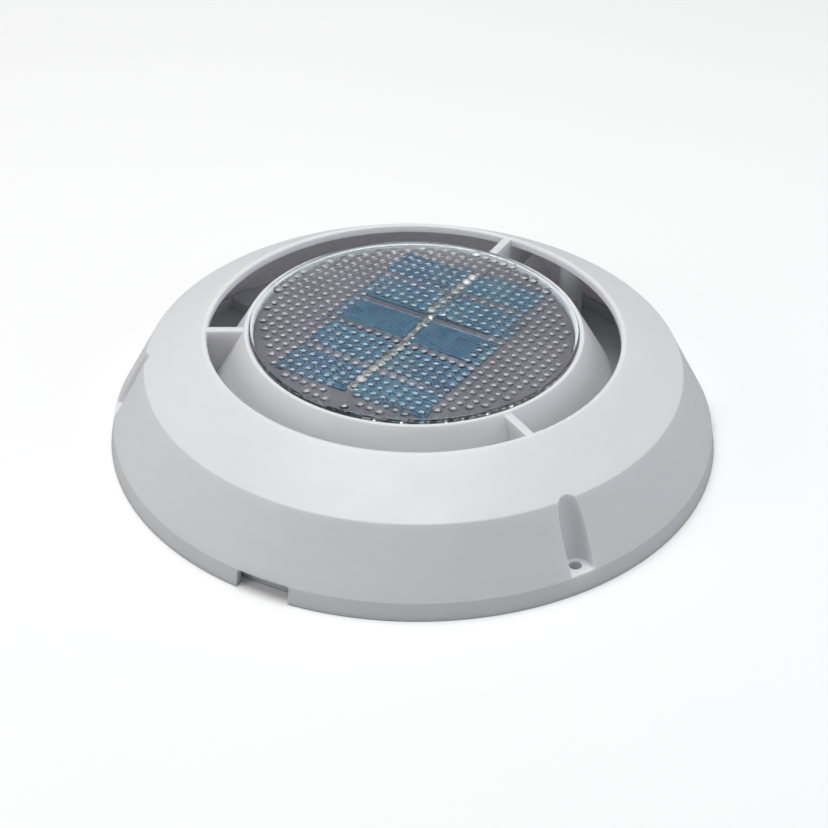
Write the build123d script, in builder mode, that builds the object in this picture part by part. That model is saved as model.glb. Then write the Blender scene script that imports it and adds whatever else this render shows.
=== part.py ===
from build123d import *
from math import cos, pi, radians, sin
import os

# Solar attic fan: low round roof vent with a solar-driven axial fan.
# Millimetres. Origin at the centre of the deck face, +Z up through the lens.

# ---- driving dimensions ---------------------------------------------------
rim_r = 107.5  # outer radius at the deck
band_top_r = 106.3  # top of the upright band at the foot of the skirt
band_top_z = 6.3
crease_r = 94.3  # edge between the skirt and the upper ring
crease_z = 28.6
lip_r = 73.6  # outer edge of the flat lip round the air mouth
lip_z = 40.6
mouth_r = 72.0  # air mouth
wall = 2.8  # hood wall

web_azimuths = (60, 180, 300)  # webs and deck screw pockets
notch_azimuths = (2, 122, 242)  # weep notches in the band
post_azimuths = (45, 165, 285)  # posts that hold the base ring
web_t = 3.0

pocket_half = 4.65  # half width of a deck screw pocket
pocket_wall = 2.2
shelf_z = 6.6  # floor of the pocket
pocket_end_r = 97.9  # rounded inner end of the pocket at its floor
pocket_lean = 12.6  # degrees from upright
deck_hole_r = 2.1
deck_hole_circle_r = 101.4

notch_width = 19.0
notch_corner = 1.2

dish_rim_z = 41.2
dish_rim_r = 59.0
dish_foot_r = 70.5
dish_foot_z = 21.6
dish_wall = 2.2
chamber_r = 56.0  # cell chamber under the lens
ledge_z = 39.5
ledge_r = 57.7
floor_bottom_z = 32.6  # floor of the cell chamber
floor_top_z = 34.8

lens_r = 57.5
lens_bottom_z = 40.0
lens_top_z = 43.0

board_r = 55.6
board_bottom_z = 36.4
board_top_z = 38.0
cell_length = 28.0
cell_width = 15.0
cell_t = 0.4
array_azimuth = 58.5  # direction of the bus ribbon
cell_row_centres = (38.0, 19.5, 1.0, -17.5, -36.0)
cell_column_offset = 15.4

base_r = 102.0
base_t = 3.0
base_rim_z = 7.2
base_rim_t = 1.8
duct_r = 58.0  # inside of the collar
duct_lip_r = 56.4  # narrower bottom of the duct
duct_lip_z = 2.8
collar_t = 2.2
collar_z = 17.5
post_circle_r = 86.0
post_r = 4.5
post_bottom_z = 5.0
gasket_inner_r = 64.0
gasket_outer_r = 70.0
gasket_t = 1.2
core_inner_r = 73.5  # coring pockets in the underside
core_outer_r = 92.5
core_pitch = 15
core_sweep = 12.0
core_depth = 1.4

motor_r = 12.2
motor_screw_circle_r = 7.0
magnet_inner_r = 9.0
terminal_x = 8.0
can_bottom_z = 20.6
can_top_z = 32.6
can_wall = 0.8
shaft_r = 1.0
running_gap = 0.03  # radial clearance of the shaft in its bushes
cradle_floor_z = 19.2
cradle_wall = 1.8
cradle_flange_r = 22.0
cradle_flange_t = 2.2
cradle_screw_circle_r = 18.0
cradle_screw_start = 30

hub_r = 13.0
hub_bottom_z = 8.2
hub_top_z = 17.6
blade_count = 7
blade_tip_r = 55.4
blade_mid_z = 13.0
blade_t = 1.5

shutter_r = 55.9
shutter_bottom_z = 1.2
shutter_top_z = 2.5
grille_r = 57.8
grille_bottom_z = 2.8
grille_top_z = 4.8
window_count = 6
window_inner_r = 12.0
window_outer_r = 46.0
shutter_turn = 30.0  # degrees from open to shut
pivot_r = 3.0
stop_circle_r = 51.5
stop_r = 1.4
stop_azimuth = 77.0
rib_inner_r = 49.0  # finger ribs under the shutter
rib_outer_r = 53.5
low_face_z = 0.3  # lowest faces of the shutter, just clear of the deck

os.makedirs("parts", exist_ok=True)


def save(piece, name):
    """Label a finished piece and write it as its own STEP file."""
    piece.label = name
    export_step(piece, f"parts/{name}.step")


def level_plane(azimuth, height):
    """Horizontal plane with its X axis pointing out along an azimuth."""
    angle = radians(azimuth)
    return Plane(origin=(0, 0, height), x_dir=(cos(angle), sin(angle), 0), z_dir=(0, 0, 1))


def upright_plane(azimuth):
    """Upright plane through the axis: X points out along an azimuth, Y points up."""
    angle = radians(azimuth)
    return Plane(origin=(0, 0, 0), x_dir=(cos(angle), sin(angle), 0), z_dir=(sin(angle), -cos(angle), 0))


def leaning(azimuth):
    """Direction of a pocket's walls: up, and in towards the axis."""
    angle = radians(azimuth)
    lean = radians(pocket_lean)
    return (-sin(lean) * cos(angle), -sin(lean) * sin(angle), cos(lean))


def ring(inner_r, outer_r, bottom, top):
    """Flat ring in the current part."""
    with BuildSketch(Plane.XY.offset(bottom)) as section:
        Circle(outer_r)
        Circle(inner_r, mode=Mode.SUBTRACT)
    extrude(section.sketch, amount=top - bottom)


def pocket_outline(centre_r, half_width):
    """Round-ended slot that runs out past the rim, in the current sketch."""
    reach = 20.0
    with Locations((centre_r, 0)):
        Circle(half_width)
    with Locations((centre_r + reach / 2, 0)):
        Rectangle(reach, 2 * half_width)


def sector(inner_r, outer_r, start, sweep):
    """Ring sector in the current sketch, from start over sweep degrees."""
    a = radians(start)
    b = radians(start + sweep)
    with BuildLine() as outline:
        Line((inner_r * cos(a), inner_r * sin(a)), (outer_r * cos(a), outer_r * sin(a)))
        CenterArc((0, 0), outer_r, start, sweep)
        Line((outer_r * cos(b), outer_r * sin(b)), (inner_r * cos(b), inner_r * sin(b)))
        CenterArc((0, 0), inner_r, start, sweep)
    make_face(outline.edges())


# ---- top cover ------------------------------------------------------------
pocket_centre_r = pocket_end_r + pocket_half
lean_shift = shelf_z * sin(radians(pocket_lean)) / cos(radians(pocket_lean))
foot_r = rim_r + (rim_r - band_top_r) / band_top_z * wall  # band drawn on below the deck

with BuildSketch(Plane.XZ) as hood_outline:
    with BuildLine():
        FilletPolyline(
            (0, -wall),
            (foot_r, -wall),
            (band_top_r, band_top_z),
            (crease_r, crease_z),
            (lip_r, lip_z),
            (0, lip_z),
            radius=[0.2, 0.35, 0.7, 0.5],
        )
        Line((0, lip_z), (0, -wall))
    make_face()

with BuildPart() as hood_void:
    with BuildSketch(Plane.XZ):
        add(hood_outline.sketch_local)
        offset(amount=-wall, kind=Kind.INTERSECTION)
    revolve(axis=Axis.Z)
    for azimuth in web_azimuths:
        with BuildSketch(level_plane(azimuth, -1)):
            pocket_outline(pocket_centre_r + lean_shift, pocket_half + pocket_wall)
        extrude(amount=45, dir=leaning(azimuth), mode=Mode.SUBTRACT)
    for azimuth in post_azimuths:
        with BuildSketch(level_plane(azimuth, post_bottom_z)):
            with Locations((post_circle_r, 0)):
                Circle(post_r)
        extrude(amount=lip_z, mode=Mode.SUBTRACT)

with BuildPart() as top_cover:
    with BuildSketch(Plane.XZ):
        add(hood_outline.sketch_local)
    revolve(axis=Axis.Z)
    split(bisect_by=Plane.XY, keep=Keep.TOP)
    add(hood_void.part, mode=Mode.SUBTRACT)
    with BuildSketch(Plane.XY):
        Circle(mouth_r)
    extrude(amount=lip_z, mode=Mode.SUBTRACT)
    mouth_edges = top_cover.edges().filter_by(GeomType.CIRCLE).sort_by(Axis.Z)
    fillet(mouth_edges.filter_by(lambda edge: abs(edge.radius - mouth_r) < 0.01)[-1], radius=0.7)
    # dish: rim, cone, lens ledge and the floor of the cell chamber
    cone_lean = (dish_foot_r - dish_rim_r) / (dish_rim_z - dish_foot_z)
    cone_top_z = 36.6
    cone_inner_top_r = dish_foot_r - dish_wall + (dish_foot_z - cone_top_z) * cone_lean
    chamber_wall_r = chamber_r + 2.4
    with BuildSketch(Plane.XZ) as dish_section:
        with BuildLine():
            Polyline(
                (ledge_r, dish_rim_z),
                (dish_rim_r, dish_rim_z),
                (dish_foot_r, dish_foot_z),
                (dish_foot_r - dish_wall, dish_foot_z),
                (cone_inner_top_r, cone_top_z),
                (chamber_wall_r, cone_top_z),
                (chamber_wall_r, floor_bottom_z),
                (motor_r + 0.7, floor_bottom_z),
                (motor_r + 0.7, floor_top_z),
                (chamber_r, floor_top_z),
                (chamber_r, ledge_z),
                (ledge_r, ledge_z),
                close=True,
            )
        make_face()
        fillet(dish_section.vertices().group_by(Axis.Y)[-1], radius=0.4)
    revolve(axis=Axis.Z)
    with BuildSketch(Plane.XY.offset(floor_top_z)):
        with PolarLocations(cradle_screw_circle_r, 3, start_angle=cradle_screw_start):
            Circle(2.9)
    extrude(amount=board_bottom_z - floor_top_z - 0.3)
    # webs from the dish to the hood
    for azimuth in web_azimuths:
        with BuildSketch(upright_plane(azimuth)):
            with BuildLine():
                Polyline(
                    (dish_rim_r - 0.4, lip_z - 0.1),
                    (mouth_r + 0.9, lip_z - 0.1),
                    (crease_r - 1.7, crease_z - 0.6),
                    (crease_r + 0.9, crease_z - 4.6),
                    (dish_foot_r - 2.0, crease_z - 4.6),
                    close=True,
                )
            make_face()
        extrude(amount=web_t / 2, both=True)
    # deck screw pockets and their holes
    for azimuth in web_azimuths:
        with BuildSketch(level_plane(azimuth, shelf_z)):
            pocket_outline(pocket_centre_r, pocket_half)
        extrude(amount=40, dir=leaning(azimuth), mode=Mode.SUBTRACT)
    with BuildSketch(Plane.XY):
        with PolarLocations(deck_hole_circle_r, 3, start_angle=web_azimuths[0]):
            Circle(deck_hole_r)
    extrude(amount=shelf_z, mode=Mode.SUBTRACT)
    # weep notches
    for azimuth in notch_azimuths:
        with BuildSketch(upright_plane(azimuth + 90)) as notch:
            with Locations((0, band_top_z / 2 - 2)):
                Rectangle(notch_width, band_top_z + 4)
            fillet(notch.vertices(), radius=notch_corner)
        extrude(amount=rim_r + 10, mode=Mode.SUBTRACT, dir=tuple(upright_plane(azimuth).x_dir))
    # pilot holes for the base and cradle screws
    with BuildSketch(Plane.XY.offset(post_bottom_z)):
        with PolarLocations(post_circle_r, 3, start_angle=post_azimuths[0]):
            Circle(1.55)
    extrude(amount=11, mode=Mode.SUBTRACT)
    with BuildSketch(Plane.XY.offset(floor_bottom_z)):
        with PolarLocations(cradle_screw_circle_r, 3, start_angle=cradle_screw_start):
            Circle(1.25)
    extrude(amount=board_bottom_z - floor_bottom_z - 1.0, mode=Mode.SUBTRACT)
save(top_cover.part, "top_cover")

# ---- lens and cell chamber ------------------------------------------------
with BuildPart() as lens:
    with BuildSketch(Plane.XY.offset(lens_bottom_z)):
        Circle(lens_r)
    extrude(amount=lens_top_z - lens_bottom_z)
    fillet(lens.edges().sort_by(Axis.Z)[-1], radius=1.0)
    chamfer(lens.edges().sort_by(Axis.Z)[0], length=0.3)
save(lens.part, "lens")

with BuildPart() as lens_seal:
    ring(chamber_r + 0.3, lens_r - 0.1, ledge_z, lens_bottom_z)
save(lens_seal.part, "lens_seal")

with BuildPart() as cell_board:
    with BuildSketch(Plane.XY.offset(board_bottom_z)):
        Circle(board_r)
    extrude(amount=board_top_z - board_bottom_z)
    chamfer(cell_board.edges().filter_by(GeomType.CIRCLE), length=0.15)
save(cell_board.part, "cell_board")

with BuildPart() as solar_cells:
    with BuildSketch(level_plane(array_azimuth, board_top_z)):
        for row_centre in cell_row_centres:
            with Locations((row_centre, cell_column_offset), (row_centre, -cell_column_offset)):
                Rectangle(cell_width, cell_length)
    extrude(amount=cell_t)
save(solar_cells.part, "solar_cells")

with BuildPart() as bus_ribbon:
    with BuildSketch(level_plane(array_azimuth, board_top_z)):
        Rectangle(84, 2.0)
        for row_centre in cell_row_centres:
            with Locations((row_centre, 0)):
                Rectangle(3.2, 2 * (cell_column_offset - cell_length / 2) - 0.1)
    extrude(amount=cell_t)
save(bus_ribbon.part, "bus_ribbon")

with BuildPart() as board_pads:
    with BuildSketch(Plane.XY.offset(floor_top_z)):
        with PolarLocations(42, 4, start_angle=45):
            Rectangle(14, 9)
    extrude(amount=board_bottom_z - floor_top_z)
save(board_pads.part, "board_pads")

# ---- motor mounting -------------------------------------------------------
cradle_outer_r = motor_r + 0.1 + cradle_wall
with BuildPart() as motor_cradle:
    with BuildSketch(Plane.XY.offset(cradle_floor_z)):
        Circle(cradle_outer_r)
    extrude(amount=floor_bottom_z - cradle_floor_z)
    with BuildSketch(Plane.XY.offset(floor_bottom_z - cradle_flange_t)):
        Circle(cradle_flange_r)
    extrude(amount=cradle_flange_t)
    with BuildSketch(Plane.XY.offset(can_bottom_z)):
        Circle(motor_r + 0.1)
    extrude(amount=floor_bottom_z - can_bottom_z, mode=Mode.SUBTRACT)
    with BuildSketch(Plane.XY.offset(cradle_floor_z)):
        Circle(3.4)
        with PolarLocations(motor_screw_circle_r, 2):
            Circle(1.05)
    extrude(amount=can_bottom_z - cradle_floor_z, mode=Mode.SUBTRACT)
    with BuildSketch(Plane.XY.offset(floor_bottom_z - cradle_flange_t)):
        with PolarLocations(cradle_screw_circle_r, 3, start_angle=cradle_screw_start):
            Circle(1.4)
    extrude(amount=cradle_flange_t, mode=Mode.SUBTRACT)
    # gussets between the cup and the flange
    for azimuth in (90, 210, 330):
        with BuildSketch(upright_plane(azimuth)):
            with BuildLine():
                Polyline(
                    (cradle_outer_r - 0.5, can_bottom_z + 2),
                    (cradle_outer_r - 0.5, floor_bottom_z - cradle_flange_t + 0.5),
                    (cradle_flange_r - 1.5, floor_bottom_z - cradle_flange_t + 0.5),
                    (cradle_flange_r - 1.5, floor_bottom_z - cradle_flange_t - 1),
                    close=True,
                )
            make_face()
        extrude(amount=0.9, both=True)
save(motor_cradle.part, "motor_cradle")


def pan_screw(x, y, seat_z, head_r, head_h, shank_r, length, up):
    """Pan-head screw with a cross recess; its head stands on seat_z, its shank points up or down."""
    side = 1 if up else -1
    with BuildSketch(Plane.XY.offset(seat_z)) as shank:
        with Locations((x, y)):
            Circle(shank_r)
    extrude(shank.sketch, amount=side * length)
    with BuildSketch(Plane.XY.offset(seat_z)) as head:
        with Locations((x, y)):
            Circle(head_r)
    extrude(head.sketch, amount=-side * head_h)
    with BuildSketch(Plane.XY.offset(seat_z - side * head_h)) as recess:
        with Locations((x, y)):
            Rectangle(1.2 * head_r, 0.3 * head_r)
            Rectangle(0.3 * head_r, 1.2 * head_r)
    extrude(recess.sketch, amount=side * 0.5 * head_h, mode=Mode.SUBTRACT)


def circle_points(radius, count, start):
    """Points spaced evenly on a circle."""
    angles = [radians(start + 360 * index / count) for index in range(count)]
    return [(radius * cos(angle), radius * sin(angle)) for angle in angles]


with BuildPart() as cradle_screws:
    for x, y in circle_points(cradle_screw_circle_r, 3, cradle_screw_start):
        pan_screw(x, y, floor_bottom_z - cradle_flange_t, 2.5, 1.7, 1.2, 5.0, up=True)
save(cradle_screws.part, "cradle_screws")

with BuildPart() as motor_screws:
    for x, y in circle_points(motor_screw_circle_r, 2, 0):
        pan_screw(x, y, cradle_floor_z, 1.7, 0.9, 0.95, 2.0, up=True)
save(motor_screws.part, "motor_screws")

# ---- motor ----------------------------------------------------------------
boss_r = 3.0
boss_bottom_z = 18.6
bush_r = 2.3
with BuildPart() as motor_can:
    with BuildSketch(Plane.XY.offset(can_bottom_z)):
        Circle(motor_r)
    extrude(amount=can_top_z - can_bottom_z)
    fillet(motor_can.edges().sort_by(Axis.Z)[0], radius=0.6)
    with BuildSketch(Plane.XY.offset(boss_bottom_z)):
        Circle(boss_r)
    extrude(amount=can_bottom_z - boss_bottom_z + 0.4)
    with BuildSketch(Plane.XY.offset(can_bottom_z + can_wall)):
        Circle(motor_r - can_wall)
    extrude(amount=can_top_z - can_bottom_z, mode=Mode.SUBTRACT)
    with BuildSketch(Plane.XY.offset(boss_bottom_z)):
        Circle(bush_r)
    extrude(amount=can_bottom_z + can_wall - boss_bottom_z, mode=Mode.SUBTRACT)
    with BuildSketch(Plane.XY.offset(can_bottom_z)):
        with PolarLocations(motor_screw_circle_r, 2):
            Circle(1.0)
    extrude(amount=can_wall, mode=Mode.SUBTRACT)
save(motor_can.part, "motor_can")

with BuildPart() as front_bush:
    ring(shaft_r + running_gap, bush_r, boss_bottom_z, can_bottom_z + can_wall)
save(front_bush.part, "front_bush")

cap_top_z = 35.2
with BuildPart() as motor_end_cap:
    with BuildSketch(Plane.XY.offset(can_top_z)):
        Circle(motor_r - 0.1)
    extrude(amount=1.4)
    with BuildSketch(Plane.XY.offset(can_top_z + 1.4)):
        Circle(4.0)
    extrude(amount=cap_top_z - can_top_z - 1.4)
    with BuildSketch(Plane.XY.offset(can_top_z - 1.2)):
        Circle(motor_r - can_wall - 0.05)
        Circle(motor_r - can_wall - 1.6, mode=Mode.SUBTRACT)
    extrude(amount=1.2)
    with BuildSketch(Plane.XY.offset(can_top_z - 0.1)):
        Circle(bush_r)
    extrude(amount=cap_top_z - can_top_z - 0.5, mode=Mode.SUBTRACT)
    with BuildSketch(Plane.XY.offset(can_top_z)):
        with PolarLocations(terminal_x, 2):
            Rectangle(0.7, 2.9)
    extrude(amount=1.4, mode=Mode.SUBTRACT)
save(motor_end_cap.part, "motor_end_cap")

with BuildPart() as rear_bush:
    ring(shaft_r + running_gap, bush_r, can_top_z, can_top_z + 1.9)
save(rear_bush.part, "rear_bush")

with BuildPart() as motor_magnets:
    with BuildSketch(Plane.XY.offset(can_bottom_z + 1.6)):
        sector(magnet_inner_r, motor_r - can_wall - 0.05, 30, 120)
        sector(magnet_inner_r, motor_r - can_wall - 0.05, 210, 120)
    extrude(amount=8.4)
save(motor_magnets.part, "motor_magnets")

commutator_r = 2.7
with BuildPart() as motor_brushes:
    with BuildSketch(Plane.XY.offset(can_top_z - 2.6)):
        with PolarLocations(commutator_r + 0.25, 2):
            Rectangle(0.3, 3.2)
    extrude(amount=2.6)
    with BuildSketch(Plane.XY.offset(can_top_z - 0.3)):
        with PolarLocations(5.375, 2):
            Rectangle(4.55, 3.2)
    extrude(amount=0.3)
save(motor_brushes.part, "motor_brushes")

with BuildPart() as motor_terminals:
    with BuildSketch(Plane.XY.offset(can_top_z - 0.3)):
        with PolarLocations(terminal_x, 2):
            Rectangle(0.6, 2.8)
    extrude(amount=3.7)
save(motor_terminals.part, "motor_terminals")

# ---- rotor ----------------------------------------------------------------
shaft_bottom_z = 7.0
clip_bottom_z = 7.5
clip_r = 2.6
shaft_top_z = 34.4
with BuildPart() as motor_shaft:
    with BuildSketch(Plane.XY.offset(shaft_bottom_z)):
        Circle(shaft_r)
    extrude(amount=shaft_top_z - shaft_bottom_z)
    chamfer(motor_shaft.edges().filter_by(GeomType.CIRCLE), length=0.2)
save(motor_shaft.part, "motor_shaft")

core_bottom_z = 23.4
core_top_z = 28.4
with BuildPart() as armature_core:
    with BuildSketch(Plane.XY.offset(core_bottom_z)):
        Circle(3.0)
        for azimuth in (90, 210, 330):
            sector(7.1, 8.6, azimuth - 48, 96)
        with PolarLocations(4.9, 3, start_angle=90):
            Rectangle(4.8, 2.4)
        Circle(shaft_r, mode=Mode.SUBTRACT)
    extrude(amount=core_top_z - core_bottom_z)
save(armature_core.part, "armature_core")

with BuildPart() as armature_windings:
    with BuildSketch(Plane.XY.offset(core_bottom_z - 1.1)):
        with PolarLocations(5.0, 3, start_angle=90):
            Rectangle(3.0, 4.8)
            Rectangle(3.0, 2.5, mode=Mode.SUBTRACT)
    extrude(amount=core_top_z - core_bottom_z + 2.2)
    with BuildSketch(Plane.XY.offset(core_bottom_z - 1.1)):
        with PolarLocations(5.0, 3, start_angle=90):
            Rectangle(3.0, 4.8)
    extrude(amount=1.05)
    with BuildSketch(Plane.XY.offset(core_top_z + 0.05)):
        with PolarLocations(5.0, 3, start_angle=90):
            Rectangle(3.0, 4.8)
    extrude(amount=1.05)
save(armature_windings.part, "armature_windings")

with BuildPart() as commutator:
    with BuildSketch(Plane.XY.offset(core_top_z + 1.3)):
        Circle(commutator_r)
        Circle(shaft_r, mode=Mode.SUBTRACT)
        with PolarLocations(commutator_r - 0.2, 3):
            Rectangle(0.8, 0.35, mode=Mode.SUBTRACT)
    extrude(amount=2.2)
save(commutator.part, "commutator")

with BuildPart() as impeller:
    with BuildSketch(Plane.XY.offset(hub_bottom_z)):
        Circle(hub_r)
    extrude(amount=hub_top_z - hub_bottom_z)
    fillet(impeller.edges().sort_by(Axis.Z)[0], radius=1.2)
    for index in range(blade_count):
        azimuth = 360 * index / blade_count
        angle = radians(azimuth)
        for section_r, chord, pitch in ((hub_r - 0.9, 13.5, 40), (35.0, 20.0, 28), (blade_tip_r + 2, 23.0, 21)):
            section_plane = Plane(
                origin=(section_r * cos(angle), section_r * sin(angle), blade_mid_z),
                x_dir=(-sin(angle), cos(angle), 0),
                z_dir=(cos(angle), sin(angle), 0),
            )
            with BuildSketch(section_plane):
                with Locations(Rotation(0, 0, pitch)):
                    SlotOverall(chord, blade_t)
        loft()
    with BuildSketch(Plane.XY.offset(hub_bottom_z + 1.6)):
        Circle(hub_r - 1.5)
        Circle(3.2, mode=Mode.SUBTRACT)
    extrude(amount=hub_top_z, mode=Mode.SUBTRACT)
    with BuildSketch(Plane.XY.offset(hub_bottom_z - 3)):
        Circle(blade_tip_r)
    extrude(amount=hub_top_z, mode=Mode.INTERSECT)
    with BuildSketch(Plane.XY.offset(hub_bottom_z - 3)):
        Circle(shaft_r)
    extrude(amount=hub_top_z, mode=Mode.SUBTRACT)
save(impeller.part, "impeller")

with BuildPart() as impeller_clip:
    with BuildSketch(Plane.XY.offset(clip_bottom_z)):
        Circle(clip_r)
        Circle(shaft_r, mode=Mode.SUBTRACT)
        with Locations((2.0, 0)):
            Rectangle(2.4, 1.3, mode=Mode.SUBTRACT)
    extrude(amount=0.6)
save(impeller_clip.part, "impeller_clip")

# ---- base ring ------------------------------------------------------------
scallop_half = pocket_half + pocket_wall + 0.6
with BuildSketch(Plane.XY) as base_outline:
    Circle(base_r)
    with PolarLocations(pocket_centre_r, 3, start_angle=web_azimuths[0]):
        Circle(scallop_half, mode=Mode.SUBTRACT)
        with Locations((10, 0)):
            Rectangle(20, 2 * scallop_half, mode=Mode.SUBTRACT)

with BuildPart() as base_ring:
    add(base_outline.sketch)
    extrude(amount=base_rim_z)
    with BuildSketch(Plane.XY.offset(base_t)):
        add(base_outline.sketch_local)
        offset(amount=-base_rim_t)
    extrude(amount=base_rim_z, mode=Mode.SUBTRACT)
    with BuildSketch(Plane.XY.offset(base_t)):
        Circle(duct_r + collar_t)
    extrude(amount=collar_z - base_t)
    with BuildSketch(Plane.XY.offset(base_t)):
        with PolarLocations(post_circle_r, 3, start_angle=post_azimuths[0]):
            Circle(post_r)
    extrude(amount=post_bottom_z - base_t)
    # baffle boxes behind the weep notches
    for azimuth in notch_azimuths:
        with BuildSketch(level_plane(azimuth, base_t)):
            sector(91.5, base_r - base_rim_t + 0.5, -11, 22)
        extrude(amount=5.0)
    # duct, its lip, and the seal groove
    with BuildSketch(Plane.XY):
        Circle(duct_lip_r)
    extrude(amount=collar_z, mode=Mode.SUBTRACT)
    with BuildSketch(Plane.XY.offset(duct_lip_z)):
        Circle(duct_r)
    extrude(amount=collar_z, mode=Mode.SUBTRACT)
    with BuildSketch(Plane.XY):
        Circle(gasket_outer_r + 0.2)
        Circle(gasket_inner_r - 0.2, mode=Mode.SUBTRACT)
    extrude(amount=gasket_t, mode=Mode.SUBTRACT)
    # shallow coring pockets underneath, with ribs between them
    with BuildSketch(Plane.XY):
        for azimuth in range(0, 360, core_pitch):
            if azimuth not in post_azimuths:
                sector(core_inner_r, core_outer_r, azimuth - core_sweep / 2, core_sweep)
    extrude(amount=core_depth, mode=Mode.SUBTRACT)
    # counterbored holes for the base screws
    with BuildSketch(Plane.XY):
        with PolarLocations(post_circle_r, 3, start_angle=post_azimuths[0]):
            Circle(1.7)
    extrude(amount=post_bottom_z, mode=Mode.SUBTRACT)
    with BuildSketch(Plane.XY):
        with PolarLocations(post_circle_r, 3, start_angle=post_azimuths[0]):
            Circle(3.9)
    extrude(amount=2.2, mode=Mode.SUBTRACT)
save(base_ring.part, "base_ring")

with BuildPart() as base_screws:
    for x, y in circle_points(post_circle_r, 3, post_azimuths[0]):
        pan_screw(x, y, 2.2, 3.4, 1.9, 1.45, 11.0, up=True)
save(base_screws.part, "base_screws")

with BuildPart() as deck_seal:
    ring(gasket_inner_r, gasket_outer_r, 0, gasket_t)
save(deck_seal.part, "deck_seal")

# ---- screen and shutter ---------------------------------------------------
screen_ring_inner_r = 54.6
mesh_r = screen_ring_inner_r - 0.05
mesh_pitch = 9.0
mesh_bar = 1.0
mesh_rows = 13
with BuildPart() as screen_ring:
    ring(screen_ring_inner_r, grille_r, grille_top_z, grille_top_z + 1.5)
save(screen_ring.part, "screen_ring")

with BuildPart() as insect_screen:
    with BuildSketch(Plane.XY.offset(grille_top_z + 0.3)):
        with GridLocations(mesh_pitch, mesh_pitch, mesh_rows, 1):
            Rectangle(mesh_bar, 2 * mesh_r)
        with GridLocations(mesh_pitch, mesh_pitch, 1, mesh_rows):
            Rectangle(2 * mesh_r, mesh_bar)
        Circle(mesh_r, mode=Mode.INTERSECT)
    extrude(amount=0.5)
    ring(mesh_r - 1.2, mesh_r, grille_top_z + 0.3, grille_top_z + 0.8)
    with BuildSketch(Plane.XY.offset(grille_top_z + 0.3)):
        Circle(9.0)
    extrude(amount=0.5)
    with BuildSketch(Plane.XY.offset(grille_top_z + 0.3)):
        Circle(6.5)
    extrude(amount=0.5, mode=Mode.SUBTRACT)
save(insect_screen.part, "insect_screen")

window_sweep = 360 / window_count - shutter_turn - 2  # a little narrower than the land between windows
with BuildPart() as shutter_grille:
    with BuildSketch(Plane.XY.offset(grille_bottom_z)):
        Circle(grille_r)
        Circle(pivot_r, mode=Mode.SUBTRACT)
    extrude(amount=grille_top_z - grille_bottom_z)
    with BuildSketch(Plane.XY.offset(grille_bottom_z)):
        for index in range(window_count):
            sector(window_inner_r, window_outer_r, index * 360 / window_count, window_sweep)
    extrude(amount=grille_top_z - grille_bottom_z, mode=Mode.SUBTRACT)
    # curved slot for the stop peg
    with BuildSketch(Plane.XY.offset(grille_bottom_z)):
        sector(stop_circle_r - stop_r - 0.3, stop_circle_r + stop_r + 0.3, stop_azimuth - 2.5, shutter_turn + 5)
    extrude(amount=grille_top_z - grille_bottom_z, mode=Mode.SUBTRACT)
save(shutter_grille.part, "shutter_grille")

with BuildPart() as shutter_disc:
    with BuildSketch(Plane.XY.offset(shutter_bottom_z)):
        Circle(shutter_r)
        Circle(pivot_r + 0.06, mode=Mode.SUBTRACT)
    extrude(amount=shutter_top_z - shutter_bottom_z)
    with BuildSketch(Plane.XY.offset(shutter_bottom_z)):
        for index in range(window_count):
            sector(window_inner_r, window_outer_r, index * 360 / window_count, window_sweep)
    extrude(amount=shutter_top_z - shutter_bottom_z, mode=Mode.SUBTRACT)
    # finger ribs underneath and the stop peg on top
    with BuildSketch(Plane.XY.offset(low_face_z)):
        for index in range(3):
            sector(rib_inner_r, rib_outer_r, index * 120 - 16 + window_sweep / 2 + 30, 4)
            sector(rib_inner_r, rib_outer_r, index * 120 - 8 + window_sweep / 2 + 30, 4)
            sector(rib_inner_r, rib_outer_r, index * 120 + window_sweep / 2 + 30, 4)
    extrude(amount=shutter_bottom_z - low_face_z)
    with BuildSketch(Plane.XY.offset(shutter_top_z)):
        with PolarLocations(stop_circle_r, 1, start_angle=stop_azimuth):
            Circle(stop_r)
    extrude(amount=1.8)
save(shutter_disc.part, "shutter_disc")

with BuildPart() as shutter_pivot:
    with BuildSketch(Plane.XY.offset(low_face_z)):
        Circle(6.0)
    extrude(amount=0.6)
    with BuildSketch(Plane.XY.offset(low_face_z)):
        Circle(pivot_r)
    extrude(amount=grille_top_z - low_face_z + 0.9)
    with BuildSketch(Plane.XY.offset(low_face_z)):
        Rectangle(7, 1.1)
    extrude(amount=0.35, mode=Mode.SUBTRACT)
save(shutter_pivot.part, "shutter_pivot")

with BuildPart() as pivot_nut:
    ring(pivot_r, 5.5, grille_top_z, grille_top_z + 0.8)
save(pivot_nut.part, "pivot_nut")

# ---- leads from the board to the motor -------------------------------------
lead_r = 0.55
lead_z = floor_top_z + 0.95
terminal_face_x = terminal_x + 0.3
lead_runs = ((0, 0), (9, 0), (17.5, 4.5), (25.5, 4.5))  # from the terminal's face
lead_end = (terminal_face_x + lead_runs[-1][0], lead_runs[-1][1])


def lead_radii(points):
    """Arc radius at each corner: 0.45 of the shorter run over tan(half the turn)."""
    vectors = [Vector(*points[i + 1]) - Vector(*points[i]) for i in range(len(points) - 1)]
    radii = []
    for before, after in zip(vectors, vectors[1:]):
        half_turn = radians(before.get_angle(after) / 2)
        radii.append(0.45 * min(before.length, after.length) * cos(half_turn) / sin(half_turn))
    return radii


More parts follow.
